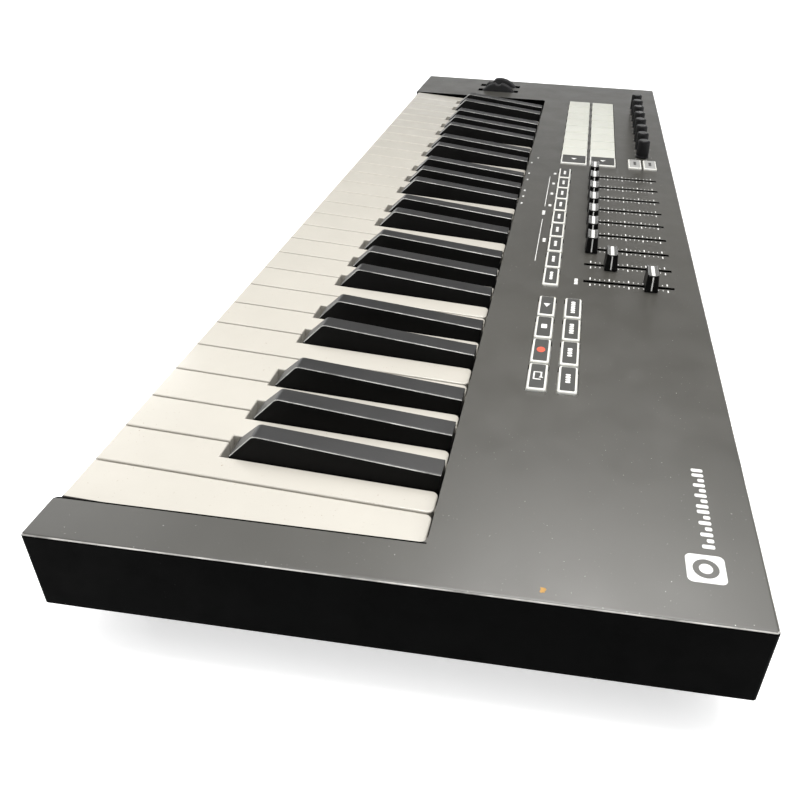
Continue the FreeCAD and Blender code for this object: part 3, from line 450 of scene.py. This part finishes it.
loop_at, record_at, stop_at, play_at = transport[:4]
icons = loop_icon(*loop_at)
icons.append(marked(rounded(*stop_at, 4.4, 3.0, 0.3, 2)))
icons.append(arrow(*play_at, 1.9, 2.3, 1.9))
words = ((1.3, 2.2, 1.3, 1.6), (1.6, 1.1, 2.4, 1.6), (2.0, 1.3, 1.6, 2.6, 1.3),
         (2.4, 1.5, 1.5, 2.0, 2.4, 1.6))
for (x, y), widths in zip(transport[4:], words):
    icons += bars(x, y, widths, 2.4, 0.5, *BUTTON_INK)
for i, (x, y) in enumerate(fader_buttons):
    widths = (2.4, 1.4, 2.0, 1.6) if i else (2.6, 1.3, 2.2, 1.3, 1.9)
    icons += bars(x, y, widths, 1.9, 0.4, *BUTTON_INK)
dark_icons = []
for x, y, depth in side_buttons:
    if depth == SIDE_DEPTH:
        dark_icons += bars(x, y, (2.2, 1.4, 2.0, 1.5), 2.4, 0.6, *BUTTON_INK)
    else:
        icons.append(arrow(x, y, 1.6, 2.2, 2.4))
piece("button_icons", "buttons", print_white, icons)
piece("button_icons_dark", "buttons", print_dark, dark_icons)
record_x, record_y = record_at
RECORD_STRETCH = 1.25
piece("record_dot", "buttons", print_red,
      [marked([(record_x + RECORD_STRETCH * (x - record_x), y)
               for x, y in circle(record_x, record_y, 2.1, 28)])])

# ---- fader caps -------------------------------------------------------------

GRIP_START, GRIP_STEP, GRIP_HALF, GRIP_RISE, GRIP_INSET = 0.55, 0.95, 0.25, 0.25, 1.7
DISH_RADIUS = 7
# A cap's ends lean in by 0.7 over a height of 10.5.
CAP_LEAN = math.atan(0.7 / 10.5)
TOP_LINE_HALF, TOP_LINE_INSET, TOP_LINE_RISE = 0.95, 1.3, 0.16
END_LINE_HALF, END_LINE_LOW, END_LINE_HIGH = 0.36, 0.6, 9.0


def dish_floor(label):
    """The level of the bottom of a cap's dish."""
    return min(p.center.z for p in NODES[label].data.polygons
               if p.normal.z > 0.98 and p.center.z > (PANEL + 5) * MM) / MM


def cap_details(number):
    """Ridges across a cap's dish, and a white line over the top and down both ends."""
    label = "fader_cap_%d" % number
    low, high = millimetres(label)
    x, y, floor_level = (low.x + high.x) / 2, (low.y + high.y) / 2, dish_floor(label)
    half = (high.x - low.x) / 2

    def dish(offset):
        """The level of the dish at a distance from its middle line."""
        return floor_level + DISH_RADIUS - math.sqrt(DISH_RADIUS ** 2 - offset ** 2)

    grips = []
    for side in (-1, 1):
        for k in (1, 2):
            offset = side * (k * GRIP_STEP + GRIP_START)
            level = dish(offset)
            grips.append(block((x - half + GRIP_INSET, y + offset - GRIP_HALF, level - 0.25),
                               (x + half - GRIP_INSET, y + offset + GRIP_HALF, level + GRIP_RISE), 0.2))
    piece("fader_grip_%d" % number, label, cap_grip_sheen, grips, bevel=0.08)
    line = [block((x - half + TOP_LINE_INSET, y - TOP_LINE_HALF, dish(0) - 0.3),
                  (x + half - TOP_LINE_INSET, y + TOP_LINE_HALF, dish(0) + TOP_LINE_RISE))]
    for side in (-1, 1):
        tilt = Matrix.Translation((x + side * half, y, PANEL + 0.5)) @ \
            Matrix.Rotation(-side * CAP_LEAN, 4, "Y")
        inner, outer = sorted((-side * 0.25, side * 0.06))
        line.append(prism([(inner, -END_LINE_HALF), (outer, -END_LINE_HALF), (outer, END_LINE_HALF),
                           (inner, END_LINE_HALF)], END_LINE_LOW, END_LINE_HIGH, tilt))
    piece("fader_line_%d" % number, label, print_white, line)


for number in range(1, 10):
    cap_details(number)

# ---- knobs ------------------------------------------------------------------

KNOB_RIBS = 24
KNOB_SKIRT = 0.4
KNOB_TAPER = 0.2
KNOB_FOOT, KNOB_SHOULDER = 2.1, 1.0
KNOB_RIB = ((-0.3, -0.3), (0.16, -0.14), (0.16, 0.14), (-0.3, 0.3))
POINTER_HALF, POINTER_START, POINTER_INSET = 0.42, 1.7, 0.75
POINTER_LOW, POINTER_HIGH = 0.7, 0.15


def knob_details(number):
    """Fine ribs round a knob's side, and paint in its pointer groove."""
    label = "knob_%d" % number
    low, high = millimetres(label)
    x, y, top = (low.x + high.x) / 2, (low.y + high.y) / 2, high.z
    radius = (high.x - low.x) / 2 - KNOB_SKIRT
    foot = PANEL + KNOB_FOOT
    height = top - KNOB_SHOULDER - foot
    lean = math.atan(KNOB_TAPER / height)
    ribs = []
    for k in range(KNOB_RIBS):
        turn = math.tau * (k + 0.5) / KNOB_RIBS
        matrix = Matrix.Translation((x, y, foot)) @ Matrix.Rotation(turn, 4, "Z") @ \
            Matrix.Translation((radius, 0, 0)) @ Matrix.Rotation(-lean, 4, "Y")
        ribs.append(prism(KNOB_RIB, 0, height, matrix))
    piece("knob_ribs_%d" % number, label, knob_black, ribs, bevel=0.05)
    pointer = block((x - POINTER_HALF, y + POINTER_START, top - POINTER_LOW),
                    (x + POINTER_HALF, y + radius - POINTER_INSET, top - POINTER_HIGH))
    piece("knob_line_%d" % number, label, print_white, [pointer])


for number in range(1, 9):
    knob_details(number)

# ---- wheels -----------------------------------------------------------------

WHEEL_AXIS = (along(86), 47)
RIB_TURN = 6
RIB_ROOT, RIB_HEIGHT, RIB_HALF, RIB_INSET = 20.6, 0.75, 0.42, 1.2
NOTCH_HALF_TURN = 15
# At its lower stop, the modulation wheel's notch leans this far towards the player.
MOD_LEAN = 28


def wheel_details(label, lean):
    """Grip ribs across the rim, clear of the finger notch."""
    low, high = millimetres(label)
    x, half = (low.x + high.x) / 2, (high.x - low.x) / 2 - RIB_INSET
    outline = [(-half, -RIB_HALF), (half, -RIB_HALF), (half, RIB_HALF), (-half, RIB_HALF)]
    ribs = []
    for angle in range(0, 360, RIB_TURN):
        if min(angle, 360 - angle) < NOTCH_HALF_TURN:
            continue
        matrix = Matrix.Translation((x, *WHEEL_AXIS)) @ \
            Matrix.Rotation(math.radians(lean + angle), 4, "X") @ Matrix.Translation((0, 0, RIB_ROOT))
        ribs.append(prism(outline, 0, RIB_HEIGHT, matrix))
    piece("%s_ribs" % label, label, wheel_rubber, ribs, bevel=0.15)


wheel_details("pitch_wheel", 0)
wheel_details("mod_wheel", MOD_LEAN)

# ---- panel print ------------------------------------------------------------

PANEL_INK, PANEL_STAIN = (PANEL - 0.05, PANEL + 0.03), (PANEL - 0.05, PANEL + 0.02)
BRACKET_ROW, NAME_ROW, CAPTION_ROW = 159.8, 163.3, 142.7
printed = []


def ink(points):
    """White print on the panel; the two below place it by distances from the right-hand end and front."""
    printed.append(prism(points, *PANEL_INK))


def ink_bar(u, v, width, depth):
    ink(rounded(across(u), along(v), width, depth, min(width, depth) * 0.3, 2))


def ink_word(u, v, widths, height, gap):
    printed.extend(bars(across(u), along(v), widths, height, gap, *PANEL_INK))


# Two long brackets in front of the fader buttons with a word between them, then names and captions.
for near, far in ((276, 349), (375, 445)):
    ink_bar((near + far) / 2, BRACKET_ROW, far - near, 0.4)
ink_word(362, BRACKET_ROW, (1.9, 1.3, 2.1, 1.6), 2.2, 0.45)
for u, widths in ((311, (1.9, 1.5, 2.1)), (378, (2.0, 1.6)), (404, (2.2, 1.6)), (428, (2.0, 1.6)),
                  (453, (2.1, 1.5))):
    ink_word(u, NAME_ROW, widths, 2.2, 0.4)
ink_word(251, 185.8, (1.9, 1.5, 1.7, 1.6), 2.2, 0.4)
for u in (378, 393, 406.5, 433, 449, 478):
    ink_word(u, CAPTION_ROW, (1.4, 1.2), 1.4, 0.3)
ink_word(492.7, 147, (1.4, 1.2), 1.4, 0.3)

# Scales beside the nine fader slots: a long tick, then three short ones, four times over.
SCALE_START, SCALE_TRAVEL, SCALE_STEPS, LONG_EVERY, TICK_GAP = 194, 45, 16, 4, 2.8
for n in range(9):
    for side in (-1, 1):
        for k in range(SCALE_STEPS + 1):
            length, width = (1.3, 0.55) if k % LONG_EVERY else (3.0, 0.7)
            ink_bar(FADER_FIRST + PITCH * n + side * (TICK_GAP + length / 2),
                    SCALE_START + SCALE_TRAVEL * k / SCALE_STEPS, length, width)

# Knob scales: five dots round each knob.
DOT_RING = 8.2
for n in range(1, 9):
    low, high = millimetres("knob_%d" % n)
    middle_x, middle_y = (low.x + high.x) / 2, (low.y + high.y) / 2
    for turn in (-130, -65, 0, 65, 130):
        angle = math.radians(90 - turn)
        ink(circle(middle_x + DOT_RING * math.cos(angle), middle_y + DOT_RING * math.sin(angle), 0.45, 12))

# A row of piano-key bars where a name would stand, and a plain ring badge beside it.
WORD_NEAR, WORD_FAR, WORD_ROW, WORD_BARS = 34.6, 82, 239, 15
step = (WORD_FAR - WORD_NEAR) / WORD_BARS
for i in range(WORD_BARS):
    shift, height = (1.0, 2.6) if i % 7 in (1, 3, 5) else (0, 4.6)
    ink_bar(WORD_NEAR + step * (i + 0.5), WORD_ROW + shift, step * 0.62, height)
BADGE_SIDE, BADGE_RADIUS, RING_OUTER, RING_INNER = 13.6, 2.2, 4.6, 2.4
badge_x, badge_y = across(25), along(236.9)
printed.append(frame_of(rounded(badge_x, badge_y, BADGE_SIDE, BADGE_SIDE, BADGE_RADIUS, 7),
                        circle(badge_x, badge_y, RING_OUTER), *PANEL_INK))
ink(circle(badge_x, badge_y, RING_INNER))
piece("panel_print", "case", print_white, printed)

# A chip in the paint near the right-hand end.
CHIP_POINTS, CHIP_STRETCH = 11, 1.5
chip_x, chip_y = across(5.6), along(181.9)
chip = []
for k in range(CHIP_POINTS):
    angle, radius = math.tau * k / CHIP_POINTS, 0.7 + 0.7 * dice.random()
    chip.append((chip_x + radius * math.cos(angle) * CHIP_STRETCH, chip_y + radius * math.sin(angle)))
piece("paint_chip", "case", chip_brown, [prism(chip, *PANEL_STAIN)])

# Painted shade: a black strip along the end cheeks' inner edge, beside the keys, for the shadowed gap to
# the keys.
OPENING_RIGHT, OPENING_LENGTH, OPENING_REAR, CHEEK_CORNER, RIM_WIDTH = 20.8, 682.5, 140, 3, 0.7
RIM_BEND = [math.radians(a) for a in (62, 70, 80, 90)]


def cheek_shade_strip(edge, outward):
    """A narrow strip of painted shade along one side of the key opening and round the cheek's front
    corner.
    """
    centre_x, centre_y = edge + outward * CHEEK_CORNER, CASE_LOW.y + CHEEK_CORNER
    edges = []
    for radius in (CHEEK_CORNER, CHEEK_CORNER - RIM_WIDTH):
        bend = [(centre_x - outward * radius * math.sin(a), centre_y - radius * math.cos(a))
                for a in RIM_BEND]
        edges.append(bend + [(centre_x - outward * radius, along(OPENING_REAR))])
    outer, inner = edges
    return prism(outer + inner[::-1], *PANEL_STAIN)


piece("cheek_shade_strips", "case", case_black,
      [cheek_shade_strip(across(OPENING_RIGHT), 1), cheek_shade_strip(across(OPENING_RIGHT + OPENING_LENGTH), -1)])

# ---- rear sockets and screws ------------------------------------------------

JACK, DIN, USB = 560, 600, 640
SOCKET_MOUTH, SOCKET_LEVEL, LABEL_LEVEL = along(255.2), 42, 53
SOCKET_FLOOR, SHELL_FLOOR, SHELL_PROUD = -8.9, -8.8, 0.15
PIN_RING, PIN_TURN = 4.6, 45
REARWARD = Matrix.Rotation(math.radians(-90), 4, "X")


def rear(u, low, high, points, inner=None):
    """A disc, block or collar that faces the rear, from low to high along Y."""
    matrix = Matrix.Translation((across(u), SOCKET_MOUTH, SOCKET_LEVEL)) @ REARWARD
    if inner:
        return frame_of(points, inner, low, high, matrix)
    return prism(points, low, high, matrix)


collar = [rear(JACK, -0.3, 1.3, circle(0, 0, 5.3, 36), circle(0, 0, 3.25, 36)),
          rear(JACK, 1.3, 1.8, circle(0, 0, 4.4, 36), circle(0, 0, 3.3, 36))]
piece("jack_collar", "case", steel, collar, bevel=0.1)
pins = []
for k in range(5):
    angle = math.radians(-90 + PIN_TURN * (k - 2)) + math.pi
    pins.append(rear(DIN, SOCKET_FLOOR, -2.5,
                     circle(PIN_RING * math.cos(angle), PIN_RING * math.sin(angle), 0.75, 16)))
piece("din_pins", "case", steel, pins)
piece("din_ring", "case", steel,
      [rear(DIN, SHELL_FLOOR, SHELL_PROUD, circle(0, 0, 7.55), circle(0, 0, 7.1))])
piece("usb_shell", "case", steel,
      [rear(USB, SHELL_FLOOR, SHELL_PROUD, rounded(0, 0, 8.5, 7.9, 0.9), rounded(0, 0, 7.9, 7.3, 0.7))])
piece("usb_tongue", "case", socket_black,
      [rear(USB, SOCKET_FLOOR, -1.2, rounded(0, 0, 5.4, 3.1, 0.4))])

# Labels over the sockets: short bars on the rear wall.
labels = []
for u, widths in ((JACK, (1.6, 1.1, 1.8)), (DIN, (1.2, 1.6, 1.2, 1.5)), (USB, (1.5, 1.5, 1.2))):
    on_wall = Matrix.Translation((across(u), CASE_HIGH.y, LABEL_LEVEL)) @ REARWARD
    labels += bars(0, 0, widths, 2.0, 0.5, -0.05, 0.01, radius=0.4, matrix=on_wall)
piece("rear_print", "case", print_white, labels)

# Cross recesses in the heads of the case screws, under the rim.
HEAD_WIDTH, SAME_LEVEL = 5.6, 0.1
CROSS_LENGTH, CROSS_WIDTH = 3.2, 0.7
head_level = millimetres("screws")[0].z
heads = []
for vertex in NODES["screws"].data.vertices:
    spot = vertex.co / MM
    if spot.z > head_level + SAME_LEVEL:
        continue
    near = [head for head in heads if (head[0] - spot).length < HEAD_WIDTH + SAME_LEVEL]
    if near:
        near[0].append(spot)
    else:
        heads.append([spot])
crosses = []
for head in heads:
    x = (min(spot.x for spot in head) + max(spot.x for spot in head)) / 2
    y = (min(spot.y for spot in head) + max(spot.y for spot in head)) / 2
    for width, depth in ((CROSS_LENGTH, CROSS_WIDTH), (CROSS_WIDTH, CROSS_LENGTH)):
        crosses.append(prism(rounded(x, y, width, depth, 0.2, 2), head_level - 0.02, head_level + 0.1))
piece("screw_crosses", "case", socket_black, crosses)

# ---- floor, light and camera ------------------------------------------------

WALL_RADIUS, WALL_HEIGHT, WALL_STEPS = 11, 2.4, 64
BACKDROP_HEIGHT = 9

floor_white = finish("floor_white", (0.9, 0.9, 0.9), 0.9, 40, 0.0001, shade=0.01, smudge_scale=2,
                     specular=0.05)
floor_shader = floor_white.node_tree.nodes["Principled BSDF"]
floor_shader.inputs["Emission Color"].default_value = (1, 1, 1, 1)
floor_shader.inputs["Emission Strength"].default_value = 0.6


def round_wall(name, low, high, ground=False):
    """A ring of wall from low to high, with the floor under it where that is asked for."""
    bm = bmesh.new()
    if ground:
        bmesh.ops.create_grid(bm, x_segments=1, y_segments=1, size=WALL_RADIUS + 1)
    foot, top = [[bm.verts.new((x, y, z)) for x, y in circle(0, 0, WALL_RADIUS, WALL_STEPS)]
                 for z in (low, high)]
    for k in range(WALL_STEPS):
        after = (k + 1) % WALL_STEPS
        bm.faces.new((foot[k], top[k], top[after], foot[after]))
    mesh = bpy.data.meshes.new(name)
    bm.to_mesh(mesh)
    bm.free()
    mesh.materials.append(floor_white)
    wall = bpy.data.objects.new(name, mesh)
    bpy.context.scene.collection.objects.link(wall)
    return wall


round_wall("floor", 0, WALL_HEIGHT, ground=True)
# Over the wall, a backdrop that closes off low views and leaves the light on the object as it is.
backdrop = round_wall("backdrop", WALL_HEIGHT, BACKDROP_HEIGHT)
backdrop.visible_diffuse = backdrop.visible_glossy = backdrop.visible_shadow = False

world = bpy.data.worlds.new("studio")
bpy.context.scene.world = world
world.use_nodes = True
sky_nodes = world.node_tree.nodes
sky_links = world.node_tree.links
sky = sky_nodes["Background"]
sky.inputs["Color"].default_value = (1, 1, 1, 1)
# The sky is dim up to 30 degrees above the horizon and brightens to 72 degrees.
direction = sky_nodes.new("ShaderNodeTexCoord").outputs["Generated"]
split = sky_nodes.new("ShaderNodeSeparateXYZ")
sky_links.new(direction, split.inputs["Vector"])
ramp = sky_nodes.new("ShaderNodeMapRange")
for key, value in (("From Min", 0.5), ("From Max", 0.95), ("To Min", 0.03), ("To Max", 1.75)):
    ramp.inputs[key].default_value = value
sky_links.new(split.outputs["Z"], ramp.inputs["Value"])
sky_links.new(ramp.outputs["Result"], sky.inputs["Strength"])


def softbox(name, place, aim, width, height, power, tint=(1, 1, 1)):
    """A rectangular light at a place, turned towards its aim."""
    light = bpy.data.lights.new(name, "AREA")
    light.shape = "RECTANGLE"
    light.size, light.size_y = width, height
    light.energy = power
    light.color = tint
    lamp = bpy.data.objects.new(name, light)
    lamp.location = place
    lamp.rotation_euler = (Vector(aim) - Vector(place)).to_track_quat("-Z", "Y").to_euler()
    bpy.context.scene.collection.objects.link(lamp)


softbox("window", (0.2, 0.1, 0.7), (0.45, 0.06, 0.06), 0.35, 0.7, 4.8, (1.0, 0.985, 0.96))
softbox("fill", (-0.45, -0.8, 0.5), (-0.25, -0.05, 0.05), 0.6, 0.6, 2.2)

camera_data = bpy.data.cameras.new("camera")
camera_data.lens = 35.46
camera_data.sensor_width = 36
camera_data.shift_x = -0.0885
camera_data.shift_y = 0.0068
camera_data.clip_start = 0.01
camera = bpy.data.objects.new("camera", camera_data)
camera.location = (0.57386, 0.04777, 0.25469)
camera.rotation_euler = [math.radians(a) for a in (56.18, -2.04, 97.99)]
bpy.context.scene.collection.objects.link(camera)
bpy.context.scene.camera = camera
bpy.context.scene.view_settings.view_transform = "Standard"
